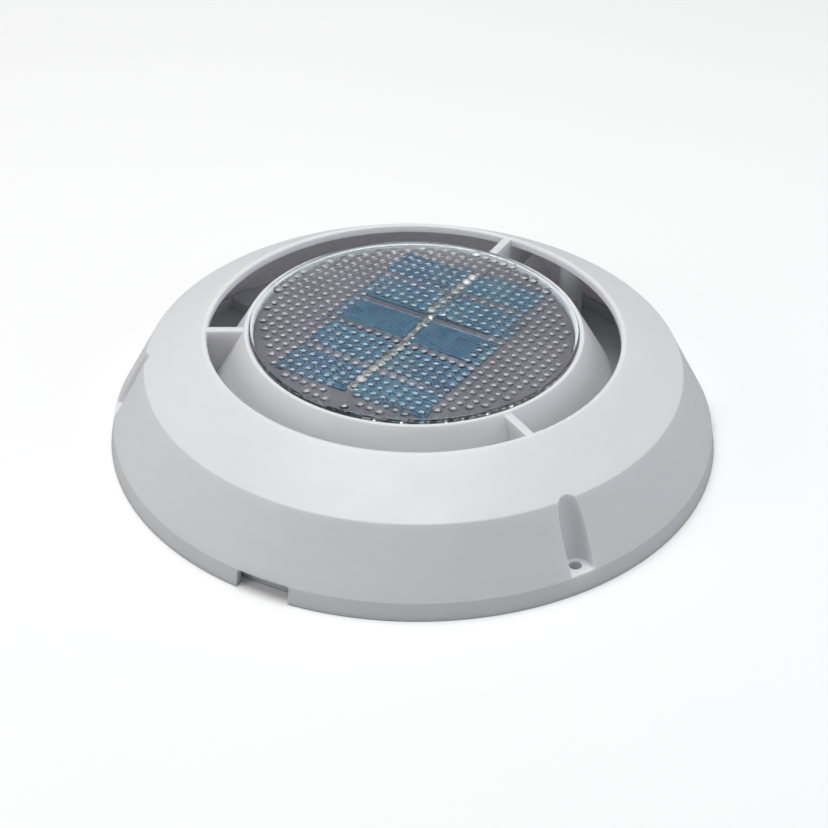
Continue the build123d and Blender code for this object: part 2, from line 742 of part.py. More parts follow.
for name, side in (("lead_positive", 1), ("lead_negative", -1)):
    route = [(side * (terminal_face_x + x), side * y, lead_z) for x, y in lead_runs]
    radii = lead_radii(route)
    print(name, "radii", [round(value, 1) for value in radii])
    with BuildPart() as lead:
        with BuildLine() as path:
            FilletPolyline(*route, radius=radii)
        with BuildSketch(Plane(origin=route[0], x_dir=(0, 1, 0), z_dir=(side, 0, 0))):
            Circle(lead_r)
        sweep(path=path.wire())
    print(name, "volume", lead.part.volume, "expected", pi * lead_r**2 * path.wire().length)
    save(lead.part, name)

with BuildPart() as board_solder:
    with BuildSketch(Plane.XY.offset(board_bottom_z)):
        with Locations((lead_end[0] + 1.2, lead_end[1]), (-lead_end[0] - 1.2, -lead_end[1])):
            Rectangle(2.4, 2.4)
    extrude(amount=-1.5, taper=6)
save(board_solder.part, "board_solder")
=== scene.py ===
from math import ceil, cos, hypot, pi, radians, sin, sqrt

import bmesh
import bpy
from mathutils import Matrix, Vector, noise


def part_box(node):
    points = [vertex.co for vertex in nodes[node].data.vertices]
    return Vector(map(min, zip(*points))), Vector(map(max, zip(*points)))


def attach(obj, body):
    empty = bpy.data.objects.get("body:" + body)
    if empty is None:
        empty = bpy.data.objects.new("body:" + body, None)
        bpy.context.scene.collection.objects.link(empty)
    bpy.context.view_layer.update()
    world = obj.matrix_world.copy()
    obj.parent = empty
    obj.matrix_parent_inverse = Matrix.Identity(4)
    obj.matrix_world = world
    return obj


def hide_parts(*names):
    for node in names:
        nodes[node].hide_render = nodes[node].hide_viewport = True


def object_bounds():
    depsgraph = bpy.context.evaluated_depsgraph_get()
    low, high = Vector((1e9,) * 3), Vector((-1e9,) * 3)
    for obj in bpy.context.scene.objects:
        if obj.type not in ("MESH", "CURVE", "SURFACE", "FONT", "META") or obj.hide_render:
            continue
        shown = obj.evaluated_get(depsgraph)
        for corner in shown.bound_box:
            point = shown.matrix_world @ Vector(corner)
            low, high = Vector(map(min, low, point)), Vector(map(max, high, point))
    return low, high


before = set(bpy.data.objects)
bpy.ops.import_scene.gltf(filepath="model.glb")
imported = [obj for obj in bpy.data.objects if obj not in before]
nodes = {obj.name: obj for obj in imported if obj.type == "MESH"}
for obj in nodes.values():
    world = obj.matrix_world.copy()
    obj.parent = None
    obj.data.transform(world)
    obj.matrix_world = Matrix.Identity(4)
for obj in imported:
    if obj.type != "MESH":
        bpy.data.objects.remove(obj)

# Visual model of the solar attic fan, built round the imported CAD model. Lengths are in metres.
cad_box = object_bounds()
MM = 0.001


def top(node):
    """Highest z of a CAD node, in metres."""
    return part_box(node)[1][2]


def bottom(node):
    """Lowest z of a CAD node, in metres."""
    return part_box(node)[0][2]


def outer_radius(node):
    """Radius of a round CAD node about the Z axis, from its box."""
    low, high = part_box(node)
    return (high[1] - low[1]) / 2


# ---- camera ----------------------------------------------------------------
# Fitted to the round edges seen in the photograph.
CAMERA_DISTANCE = 720.3 * MM
CAMERA_ELEVATION = radians(35.52)
CAMERA_AZIMUTH = radians(-91.5)
CAMERA_ROLL = radians(0.8)
FOCAL_LENGTH = 87.08  # millimetres
SENSOR_WIDTH = 36  # millimetres
NEAREST_SEEN = 0.01
AIM_UP = 3.56 * MM  # how far above the origin the camera aims, across its line of sight
AIM_RIGHT = 0.33 * MM  # and how far to the right of it


def make_camera():
    """Camera at the photograph's viewing angle."""
    place = CAMERA_DISTANCE * Vector((
        cos(CAMERA_ELEVATION) * cos(CAMERA_AZIMUTH),
        cos(CAMERA_ELEVATION) * sin(CAMERA_AZIMUTH),
        sin(CAMERA_ELEVATION),
    ))
    right = Vector((-sin(CAMERA_AZIMUTH), cos(CAMERA_AZIMUTH), 0))
    up = place.normalized().cross(right)
    aim = AIM_UP * up + AIM_RIGHT * right
    data = bpy.data.cameras.new("camera")
    data.sensor_width = SENSOR_WIDTH
    data.lens = FOCAL_LENGTH
    data.clip_start = NEAREST_SEEN
    camera = bpy.data.objects.new("camera", data)
    turn = (aim - place).to_track_quat("-Z", "Y").to_matrix().to_4x4()
    camera.matrix_world = Matrix.Translation(place) @ turn @ Matrix.Rotation(CAMERA_ROLL, 4, "Z")
    bpy.context.scene.collection.objects.link(camera)
    bpy.context.scene.camera = camera


make_camera()


# ---- materials -------------------------------------------------------------
def srgb(red, green, blue):
    """Linear colour of an sRGB colour given in 0 to 255."""
    def linear(value):
        value = value / 255
        return value / 12.92 if value <= 0.04045 else ((value + 0.055) / 1.055) ** 2.4
    return (linear(red), linear(green), linear(blue), 1)


class Shader:
    """A material under construction: short calls that add and link nodes."""

    def __init__(self, name):
        self.material = bpy.data.materials.new(name)
        self.material.use_nodes = True
        self.tree = self.material.node_tree
        self.principled = self.tree.nodes["Principled BSDF"]
        self.output = self.tree.nodes["Material Output"]
        self.place = self.node("ShaderNodeTexCoord").outputs["Object"]

    def node(self, kind, **settings):
        """A new node with its settings."""
        made = self.tree.nodes.new(kind)
        for key, value in settings.items():
            setattr(made, key, value)
        return made

    def link(self, source, target):
        """Links an output to an input, or gives the input a plain value."""
        if hasattr(source, "links"):
            self.tree.links.new(source, target)
        else:
            target.default_value = source

    def set(self, **values):
        """Plain values for the principled shader, with _ for a space in an input's name."""
        for key, value in values.items():
            self.principled.inputs[key.replace("_", " ")].default_value = value

    def feed(self, name, source):
        """Links an output to an input of the principled shader."""
        self.link(source, self.principled.inputs[name])

    def math(self, operation, first, second):
        """Result of an operation on two values."""
        made = self.node("ShaderNodeMath", operation=operation)
        self.link(first, made.inputs[0])
        self.link(second, made.inputs[1])
        return made.outputs[0]

    def noise(self, scale, detail=3.0, rough=0.5, place=None, stretch=None):
        """Noise from 0 to 1, with scale in features per metre."""
        source = place or self.place
        if stretch:
            mapping = self.node("ShaderNodeMapping")
            mapping.inputs["Scale"].default_value = stretch
            self.link(source, mapping.inputs["Vector"])
            source = mapping.outputs[0]
        made = self.node("ShaderNodeTexNoise")
        made.inputs["Scale"].default_value = scale
        made.inputs["Detail"].default_value = detail
        made.inputs["Roughness"].default_value = rough
        self.link(source, made.inputs["Vector"])
        return made.outputs["Fac"]

    def ramp(self, value, low, high, out_low=0.0, out_high=1.0):
        """Straight ramp that takes low to high into out_low to out_high, and stays within them."""
        made = self.node("ShaderNodeMapRange")
        for name, source in (("Value", value), ("From Min", low), ("From Max", high),
                             ("To Min", out_low), ("To Max", out_high)):
            self.link(source, made.inputs[name])
        return made.outputs["Result"]

    def mix(self, factor, first, second):
        """Colour between two colours."""
        first_colour, second_colour, mixed_colour = 6, 7, 2  # the node's colour sockets
        made = self.node("ShaderNodeMix", data_type="RGBA")
        self.link(factor, made.inputs["Factor"])
        self.link(first, made.inputs[first_colour])
        self.link(second, made.inputs[second_colour])
        return made.outputs[mixed_colour]

    def bump(self, height, distance, strength, before=None):
        """Normal of a bumpy skin, on top of the bumps before it."""
        made = self.node("ShaderNodeBump")
        made.inputs["Strength"].default_value = strength
        made.inputs["Distance"].default_value = distance
        self.link(height, made.inputs["Height"])
        if before:
            self.link(before, made.inputs["Normal"])
        return made.outputs["Normal"]


SCRATCH_ROUGHNESS = 0.12  # how much rougher a scratch is than the skin round it


def moulded_plastic(name, light, dark, rough=(0.34, 0.46), grain=1.0):
    """Moulded plastic: fine grain, slow drift of colour, flow marks and handling scratches."""
    s = Shader(name)
    drift = s.noise(14, detail=4)
    flow = s.noise(60, detail=2, stretch=(1, 1, 6))
    tone = s.math("ADD", s.math("MULTIPLY", drift, 0.7), s.math("MULTIPLY", flow, 0.3))
    s.feed("Base Color", s.mix(s.ramp(tone, 0.3, 0.7), light, dark))
    fine = s.noise(2600, detail=2)
    scratch = s.ramp(s.noise(420, detail=5, rough=0.7, stretch=(1, 14, 3)), 0.64, 0.78)
    gloss = s.ramp(s.noise(90, detail=4), 0.3, 0.7, *rough)
    s.feed("Roughness", s.math("ADD", gloss, s.math("MULTIPLY", scratch, SCRATCH_ROUGHNESS)))
    relief = s.bump(fine, 0.00002 * grain, 0.5)
    s.feed("Normal", s.bump(s.noise(35, detail=2), 0.0003, 0.25, before=relief))
    s.set(IOR=1.5)
    return s.material


def bare_metal(name, light, dark, rough=(0.22, 0.38), brush=(1, 1, 18)):
    """Drawn or rolled metal with brushed streaks."""
    s = Shader(name)
    streaks = s.noise(700, detail=4, stretch=brush)
    blotch = s.noise(120, detail=3)
    s.feed("Base Color", s.mix(s.ramp(blotch, 0.3, 0.7), light, dark))
    s.feed("Roughness", s.ramp(streaks, 0.25, 0.75, *rough))
    s.feed("Normal", s.bump(streaks, 0.00001, 0.4))
    s.set(Metallic=1.0)
    return s.material


def foam(name, light, dark):
    """Closed-cell foam: small bubbles in a dull skin."""
    s = Shader(name)
    cells = s.node("ShaderNodeTexVoronoi")
    cells.inputs["Scale"].default_value = 1400
    s.link(s.place, cells.inputs["Vector"])
    edge = s.ramp(cells.outputs["Distance"], 0.1, 0.6)
    s.feed("Base Color", s.mix(edge, dark, light))
    s.feed("Normal", s.bump(edge, 0.0001, 0.8))
    s.feed("Roughness", s.ramp(s.noise(200), 0.3, 0.7, 0.75, 0.95))
    return s.material


# ---- finishes --------------------------------------------------------------
def clear_acrylic():
    """Clear lens: it refracts what is seen through it, and lets lamps through to the cells."""
    s = Shader("clear_acrylic")
    s.set(Base_Color=(0.93, 0.96, 0.97, 1), IOR=1.49, Transmission_Weight=1.0)
    s.feed("Roughness", s.ramp(s.noise(160, detail=4), 0.4, 0.75, 0.05, 0.1))
    s.feed("Normal", s.bump(s.noise(90, detail=3), 0.00006, 0.5))
    open_shader = s.node("ShaderNodeBsdfTransparent")
    open_shader.inputs["Color"].default_value = (0.86, 0.88, 0.89, 1)
    mixed = s.node("ShaderNodeMixShader")
    s.link(s.node("ShaderNodeLightPath").outputs["Is Shadow Ray"], mixed.inputs["Fac"])
    s.link(s.principled.outputs[0], mixed.inputs[1])
    s.link(open_shader.outputs[0], mixed.inputs[2])
    s.link(mixed.outputs[0], s.output.inputs["Surface"])
    return s.material


ARRAY_AZIMUTH = radians(58.5)  # direction of the bus ribbon, as in the CAD model
ROW_PITCH = 18.5 * MM
ARRAY_SHIFT = 1.0 * MM  # how far along the ribbon the middle row is from the lens's middle
ROW_CENTRES = [ROW_PITCH * index + ARRAY_SHIFT for index in (2, 1, 0, -1, -2)]
COLUMN_OFFSET = 15.4 * MM  # from the ribbon to the middle of each column of cells
CELL_LENGTH = 28.0 * MM  # across the ribbon
CELL_WIDTH = 15.0 * MM  # along the ribbon


def cell_silicon():
    """Blue cells: crystal grains that differ in tone, under a glossy coat."""
    s = Shader("cell_silicon")
    turn = s.node("ShaderNodeMapping")
    turn.inputs["Rotation"].default_value = (0, 0, -ARRAY_AZIMUTH)
    s.link(s.place, turn.inputs["Vector"])
    grains = s.node("ShaderNodeTexVoronoi")
    grains.inputs["Scale"].default_value = 260
    s.link(turn.outputs[0], grains.inputs["Vector"])
    split = s.node("ShaderNodeSeparateColor")
    s.link(grains.outputs["Color"], split.inputs[0])
    drift = s.ramp(s.noise(26, detail=2, place=turn.outputs[0]), 0.35, 0.65)
    blue = s.mix(split.outputs[0], srgb(14, 42, 78), srgb(34, 72, 112))
    teal = s.mix(split.outputs[1], srgb(16, 64, 90), srgb(34, 100, 122))
    # the cells turn towards grey-blue in random low-frequency patches
    grey_patches = s.ramp(s.noise(38, detail=3, place=turn.outputs[0]), 0.5, 0.72, 0.0, 0.75)
    s.feed("Base Color", s.mix(grey_patches, s.mix(drift, blue, teal), srgb(74, 86, 98)))
    s.feed("Roughness", s.ramp(split.outputs[2], 0, 1, 0.22, 0.4))
    s.feed("Normal", s.bump(s.noise(900, detail=2), 0.00001, 0.4))
    s.set(Coat_Weight=0.6, Coat_Roughness=0.08)
    return s.material


def laminate():
    """Dark board: solder mask over a faint glass weave."""
    s = Shader("board_laminate")
    across = s.node("ShaderNodeTexWave", bands_direction="X")
    along = s.node("ShaderNodeTexWave", bands_direction="Y")
    for wave in (across, along):
        wave.inputs["Scale"].default_value = 420
        wave.inputs["Distortion"].default_value = 0.6
        s.link(s.place, wave.inputs["Vector"])
    weave = s.math("ADD", across.outputs["Fac"], along.outputs["Fac"])
    drift = s.ramp(s.noise(45, detail=4), 0.3, 0.7)
    s.feed("Base Color", s.mix(drift, srgb(82, 77, 85), srgb(99, 93, 101)))
    s.feed("Roughness", s.ramp(s.noise(300), 0.3, 0.7, 0.42, 0.6))
    s.feed("Normal", s.bump(weave, 0.00002, 0.4))
    return s.material


def solder():
    """Tinned copper: soft, slightly wavy and blotched."""
    s = Shader("tinned_ribbon")
    blotch = s.noise(500, detail=4)
    tone = s.ramp(blotch, 0.3, 0.7)
    s.feed("Base Color", s.mix(tone, srgb(150, 152, 150), srgb(206, 206, 203)))
    s.feed("Roughness", s.ramp(s.noise(900, detail=3), 0.3, 0.7, 0.2, 0.42))
    s.feed("Normal", s.bump(blotch, 0.00015, 0.8))
    s.set(Metallic=0.85)
    return s.material


white = moulded_plastic("white_abs", srgb(234, 234, 237), srgb(227, 228, 231))
white_inputs = white.node_tree.nodes["Principled BSDF"].inputs
white_inputs["Subsurface Weight"].default_value = 0.6  # light soaks through the thin walls
white_inputs["Subsurface Radius"].default_value = (1.0, 0.9, 0.95)
white_inputs["Subsurface Scale"].default_value = 5 * MM
grey = moulded_plastic("grey_abs", srgb(206, 206, 208), srgb(194, 194, 197), rough=(0.45, 0.6))
black = moulded_plastic("black_nylon", srgb(46, 46, 49), srgb(34, 34, 37), rough=(0.4, 0.55))
ferrite = moulded_plastic("ferrite", srgb(70, 69, 68), srgb(52, 51, 50),
                          rough=(0.6, 0.75), grain=2.5)
red = moulded_plastic("red_insulation", srgb(176, 32, 26), srgb(150, 22, 18),
                      rough=(0.35, 0.5), grain=0.5)
dark = moulded_plastic("black_insulation", srgb(38, 38, 40), srgb(28, 28, 30),
                       rough=(0.35, 0.5), grain=0.5)
steel = bare_metal("plated_steel", srgb(196, 197, 200), srgb(176, 177, 181))
brass = bare_metal("brass", srgb(206, 178, 116), srgb(186, 156, 92), rough=(0.25, 0.4))
copper = bare_metal("copper_wire", srgb(196, 112, 74), srgb(172, 88, 54), brush=(14, 14, 1))
seal_foam = foam("seal_foam", srgb(62, 62, 64), srgb(30, 30, 31))
tin = solder()
link_metal = bare_metal("dull_link", srgb(122, 126, 136), srgb(98, 102, 114), rough=(0.45, 0.6))
finger_print = bare_metal("finger_print", srgb(118, 156, 168), srgb(92, 132, 148),
                          rough=(0.35, 0.5))

FINISHES = {
    white: ("top_cover", "base_ring", "screen_ring", "shutter_grille", "shutter_disc"),
    grey: ("motor_cradle", "lens_seal"),
    black: ("impeller", "motor_end_cap"),
    ferrite: ("motor_magnets",),
    red: ("lead_positive",),
    dark: ("lead_negative",),
    steel: ("cradle_screws", "motor_screws", "base_screws", "motor_can", "motor_shaft",
            "armature_core", "impeller_clip", "shutter_pivot", "pivot_nut", "insect_screen"),
    brass: ("front_bush", "rear_bush", "motor_brushes", "motor_terminals"),
    copper: ("armature_windings", "commutator"),
    seal_foam: ("deck_seal", "board_pads"),
    tin: ("bus_ribbon", "board_solder"),
    laminate(): ("cell_board",),
    cell_silicon(): ("solar_cells",),
    clear_acrylic(): ("lens",),
}
for finish, names in FINISHES.items():
    for name in names:
        nodes[name].data.materials.clear()
        nodes[name].data.materials.append(finish)
clear = nodes["lens"].data.materials[0]


# ---- pieces ----------------------------------------------------------------
def add_piece(name, mesh, material, body, slot, *replaced):
    """Links a finished mesh as a piece that rides on a body."""
    piece = bpy.data.objects.new(name, mesh)
    bpy.context.scene.collection.objects.link(piece)
    mesh.materials.append(material)
    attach(piece, body)
    if replaced:
        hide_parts(*replaced)


def smooth(mesh, angle):
    """Shades a mesh smooth, with edges sharper than an angle in degrees kept crisp."""
    mesh.shade_smooth()
    mesh.set_sharp_from_angle(angle=radians(angle))


def circle_of(bm, radius, z, count):
    """A ring of new vertices."""
    step = 2 * pi / count
    return [bm.verts.new((radius * cos(index * step), radius * sin(index * step), z))
            for index in range(count)]


def skin(bm, ring, other):
    """Quads between two rings of the same count."""
    count = len(ring)
    for index in range(count):
        following = (index + 1) % count
        bm.faces.new((ring[index], ring[following], other[following], other[index]))


# ---- lens ------------------------------------------------------------------
BUBBLE_PITCH = 3.8 * MM  # the bubbles stand in a square lattice
BUBBLE_RADIUS = 1.75 * MM
BUBBLE_DEPTH = 0.46 * MM
BUBBLE_SIDES = 16
BUBBLE_RINGS = (1.0, 0.8, 0.56, 0.28)  # rings of a bubble's mesh, in parts of its radius
FIELD_RADIUS = 56.1 * MM  # where the bubbled field ends
FIELD_MARGIN = 0.3 * MM  # flat round the field
LENS_AZIMUTH = radians(55.5)  # direction of the rows of bubbles
WINDOW = (9.2 * MM, 25.5 * MM)  # half sizes of the smooth window, along and across the rows
GATE = (-25.1 * MM, -42.4 * MM)  # middle of the smooth patch where the moulding was filled
GATE_RADIUS = 5.0 * MM
LENS_SIDES = 384
LENS_INSET = 0.02 * MM  # keeps the lens's edge and underside inside the CAD lens
LENS_TOP_INSET = 0.01 * MM
LENS_EDGE_ROUND = 0.9 * MM
LENS_EDGE_STEPS = 6


def has_bubble(column, row):
    """True if the lens has a bubble at this place in the square lattice."""
    x, y = column * BUBBLE_PITCH, row * BUBBLE_PITCH
    frame_x = x * cos(LENS_AZIMUTH) - y * sin(LENS_AZIMUTH)
    frame_y = x * sin(LENS_AZIMUTH) + y * cos(LENS_AZIMUTH)
    in_window = abs(x) < WINDOW[0] and abs(y) < WINDOW[1]
    at_gate = hypot(frame_x - GATE[0], frame_y - GATE[1]) < GATE_RADIUS
    return not in_window and not at_gate


def bubble_height(distance):
    """How far a bubble stands out of its face, at a distance from its middle."""
    ball = (BUBBLE_RADIUS ** 2 + BUBBLE_DEPTH ** 2) / (2 * BUBBLE_DEPTH)  # the ball's radius
    return sqrt(ball ** 2 - distance ** 2) - (ball - BUBBLE_DEPTH)


def add_bubble(bm, corners, x, y, level, outward):
    """A round bubble and the flat round it, inside one square of the lattice."""
    rings = []
    for part in BUBBLE_RINGS:
        radius = part * BUBBLE_RADIUS
        z = level + outward * bubble_height(radius)
        ring = []
        for index in range(BUBBLE_SIDES):
            angle = 2 * pi * index / BUBBLE_SIDES
            ring.append(bm.verts.new((x + radius * cos(angle), y + radius * sin(angle), z)))
        rings.append(ring)
    for outer, inner in zip(rings, rings[1:]):
        skin(bm, outer, inner)
    crown = bm.verts.new((x, y, level + outward * BUBBLE_DEPTH))
    quarter = BUBBLE_SIDES // 4
    for index in range(BUBBLE_SIDES):
        following = (index + 1) % BUBBLE_SIDES
        bm.faces.new((rings[-1][index], rings[-1][following], crown))
        bm.faces.new((corners[index // quarter], rings[0][following], rings[0][index]))
    for side in range(4):
        bm.faces.new((corners[side - 1], corners[side], rings[0][side * quarter]))


def bubbled_face(bm, level, outward):
    """One face of the lens with its rows of bubbles. Gives back the vertices round its edge."""
    half = BUBBLE_PITCH / 2
    reach = ceil(FIELD_RADIUS / BUBBLE_PITCH)
    places = range(-reach, reach + 1)
    squares = [(column, row) for column in places for row in places
               if hypot(abs(column) + 0.5, abs(row) + 0.5) * BUBBLE_PITCH < FIELD_RADIUS]
    lattice = {}
    for column, row in squares:
        x, y = column * BUBBLE_PITCH, row * BUBBLE_PITCH
        corners = []
        for i, j in ((1, 1), (0, 1), (0, 0), (1, 0)):
            place = (column + i, row + j)
            if place not in lattice:
                corner = (x + (2 * i - 1) * half, y + (2 * j - 1) * half, level)
                lattice[place] = bm.verts.new(corner)
            corners.append(lattice[place])
        if has_bubble(column, row):
            add_bubble(bm, corners, x, y, level, outward)
        else:
            bm.faces.new(corners)
    # a dict keeps the order of the edges the same in each run, which a set does not
    field_edges = dict.fromkeys(edge for vertex in lattice.values()
                                for edge in vertex.link_edges if edge.is_boundary)
    rim = circle_of(bm, FIELD_RADIUS + FIELD_MARGIN, level, LENS_SIDES)
    rim_edges = [bm.edges.new((rim[index], rim[(index + 1) % LENS_SIDES]))
                 for index in range(LENS_SIDES)]
    bmesh.ops.triangle_fill(bm, use_beauty=True, use_dissolve=False,
                            edges=list(field_edges) + rim_edges)
    return rim


def make_lens():
    """Moulded lens: rounded disc with rows of low round bubbles on both faces."""
    low, high = bottom("lens"), top("lens")
    radius = outer_radius("lens") - LENS_INSET
    under = low + BUBBLE_DEPTH + LENS_INSET
    over = high - BUBBLE_DEPTH - LENS_TOP_INSET
    bm = bmesh.new()
    previous = bubbled_face(bm, under, -1)
    last = bubbled_face(bm, over, 1)
    # out along the underside, up the edge, and over the edge's rounding
    profile = [(radius - 0.6 * MM, under), (radius - 0.25 * MM, low + 0.55 * MM),
               (radius, low + 0.8 * MM)]
    for index in range(LENS_EDGE_STEPS + 1):
        angle = pi / 2 * index / LENS_EDGE_STEPS
        profile.append((radius - LENS_EDGE_ROUND * (1 - cos(angle)),
                        over - LENS_EDGE_ROUND * (1 - sin(angle))))
    for ring_radius, z in profile:
        ring = circle_of(bm, ring_radius, z, LENS_SIDES)
        skin(bm, previous, ring)
        previous = ring
    skin(bm, previous, last)
    bmesh.ops.rotate(bm, verts=bm.verts, matrix=Matrix.Rotation(LENS_AZIMUTH, 3, "Z"))
    bmesh.ops.recalc_face_normals(bm, faces=bm.faces)
    mesh = bpy.data.meshes.new("bubble_lens")
    bm.to_mesh(mesh)
    bm.free()
    smooth(mesh, 18)
    add_piece("bubble_lens", mesh, clear, "housing", "clear_plastic", "lens")


# ---- cells and ribbon ------------------------------------------------------
BAR_TAPER = 0.25  # how far a bar's top is drawn in, in parts of its narrower half size


def bar(bm, matrix, half_x, half_y, low, high):
    """Plain bar in a local frame, with its top edges drawn in a little."""
    draw_in = BAR_TAPER * min(half_x, half_y)
    corners = ((-1, -1), (1, -1), (1, 1), (-1, 1))
    foot = [bm.verts.new(matrix @ Vector((x * half_x, y * half_y, low))) for x, y in corners]
    crown = [bm.verts.new(matrix @ Vector((x * (half_x - draw_in), y * (half_y - draw_in), high)))
             for x, y in corners]
    skin(bm, foot, crown)
    bm.faces.new(reversed(foot))
    bm.faces.new(crown)


def array_place(along, across):
    """Place on the board: along the bus ribbon and across it."""
    return Matrix.Rotation(ARRAY_AZIMUTH, 4, "Z") @ Matrix.Translation((along, across, 0))


FINGER_COUNT = 11
FINGER_PITCH = 1.3 * MM
FINGER_HALF_WIDTH = 0.2 * MM
FINGER_HEIGHT = 0.06 * MM
FINGER_INSET = 0.5 * MM  # from the ends of the cell
COLLECTOR_HALF_WIDTH = 0.35 * MM
COLLECTOR_EDGE = 1.0 * MM  # from the cell's outer edge to the middle of the collector
COLLECTOR_INSET = 0.6 * MM


def make_fingers():
    """Printed fingers on each cell, across the ribbon, and a collector along its outer edge."""
    low = top("solar_cells")
    high = low + FINGER_HEIGHT
    finger_half = CELL_LENGTH / 2 - FINGER_INSET
    collector_half = CELL_WIDTH / 2 - COLLECTOR_INSET
    bm = bmesh.new()
    for row in ROW_CENTRES:
        for side in (-1, 1):
            for index in range(FINGER_COUNT):
                along = row + (index - (FINGER_COUNT - 1) / 2) * FINGER_PITCH
                finger = array_place(along, side * COLUMN_OFFSET)
                bar(bm, finger, FINGER_HALF_WIDTH, finger_half, low, high)
            collector = array_place(row, side * (COLUMN_OFFSET + CELL_LENGTH / 2 - COLLECTOR_EDGE))
            bar(bm, collector, collector_half, COLLECTOR_HALF_WIDTH, low, high)
    mesh = bpy.data.meshes.new("cell_fingers")
    bm.to_mesh(mesh)
    bm.free()
    add_piece("cell_fingers", mesh, finger_print, "housing", "tinned_ribbon")


LINK_GAP = 0.5 * MM  # between a link and the cells beside it
LINK_INSET = 0.8 * MM  # from the ends of the cells
LINK_HEIGHT = 0.15 * MM


def make_links():
    """Flat links that join each row of cells to the next, in the gaps between rows."""
    low = bottom("solar_cells")
    half_width = (ROW_PITCH - CELL_WIDTH) / 2 - LINK_GAP
    half_length = CELL_LENGTH / 2 - LINK_INSET
    bm = bmesh.new()
    for row in ROW_CENTRES[1:]:
        for side in (-1, 1):
            place = array_place(row + ROW_PITCH / 2, side * COLUMN_OFFSET)
            bar(bm, place, half_width, half_length, low, low + LINK_HEIGHT)
    mesh = bpy.data.meshes.new("row_links")
    bm.to_mesh(mesh)
    bm.free()
    add_piece("row_links", mesh, link_metal, "housing", "tinned_ribbon")


BEAD_AROUND = 10  # faces over the top of a bead of solder
BEAD_STEP = 0.6 * MM  # between two sections along it
FEWEST_STEPS = 8
WIDTH_WANDER, WIDTH_WAVE = 0.4, 1.7 * MM  # how much the width wanders, and over what length
HEIGHT_WANDER, HEIGHT_WAVE = 0.55, 1.2 * MM
BLUNT_END = 0.15  # size of the end section, in parts of the full one


def bead(bm, matrix, half_length, half_width, height, low, seed):
    """Bead of solder along X: its width and height wander, and its ends run out."""
    steps = max(FEWEST_STEPS, round(2 * half_length / BEAD_STEP))
    sections = []
    for index in range(steps + 1):
        x = -half_length + 2 * half_length * index / steps
        width_noise = noise.noise(Vector((x / WIDTH_WAVE, seed, 0.0)))
        height_noise = noise.noise(Vector((x / HEIGHT_WAVE, 0.0, seed)))
        round_end = sqrt(max(0.0, 1 - (x / half_length) ** 2)) * half_length / half_width
        run_out = min(1.0, round_end + BLUNT_END)
        width = half_width * (1 + WIDTH_WANDER * width_noise) * run_out
        tall = height * (1 + HEIGHT_WANDER * height_noise) * run_out
        section = []
        for turn in range(BEAD_AROUND + 1):
            angle = pi * turn / BEAD_AROUND
            place = Vector((x, width * cos(angle), low + tall * sin(angle)))
            section.append(bm.verts.new(matrix @ place))
        sections.append(section)
    for before, after in zip(sections, sections[1:]):
        for turn in range(BEAD_AROUND):
            bm.faces.new((before[turn], before[turn + 1], after[turn + 1], after[turn]))
        bm.faces.new((before[BEAD_AROUND], before[0], after[0], after[BEAD_AROUND]))
    bm.faces.new(sections[0])
    bm.faces.new(reversed(sections[-1]))


RIBBON_SIZE = (42 * MM, 1.3 * MM, 0.75 * MM)  # half length, half width and height
RIBBON_SEED = 0.5
TAB_SIZE = (2.6 * MM, 0.8 * MM, 0.5 * MM)
TAB_SHIFT = 4.6 * MM  # of each tab from the middle of its row of cells
TAB_SEED = 3.1


def make_ribbon():
    """Hand-soldered bus ribbon down the middle of the board, with two tabs at each row of cells."""
    low = bottom("bus_ribbon")
    bm = bmesh.new()
    bead(bm, array_place(0, 0), *RIBBON_SIZE, low, RIBBON_SEED)
    for index, row in enumerate(ROW_CENTRES):
        for shift in (-TAB_SHIFT, TAB_SHIFT):
            tab = array_place(row + shift, 0) @ Matrix.Rotation(pi / 2, 4, "Z")
            bead(bm, tab, *TAB_SIZE, low, TAB_SEED + index + shift / MM)
    bmesh.ops.recalc_face_normals(bm, faces=bm.faces)
    mesh = bpy.data.meshes.new("soldered_ribbon")
    bm.to_mesh(mesh)
    bm.free()
    smooth(mesh, 60)
    add_piece("soldered_ribbon", mesh, tin, "housing", "tinned_ribbon", "bus_ribbon")


# ---- insect screen ---------------------------------------------------------
WIRE_PITCH = 1.9 * MM
WIRE_RADIUS = 0.13 * MM
WIRE_WAVE = 0.75  # how far a wire's middle rises or dips at a crossing, in parts of its radius
SCREEN_RIM = 1.3 * MM  # width of the pressed rim
SCREEN_SIDES = 128


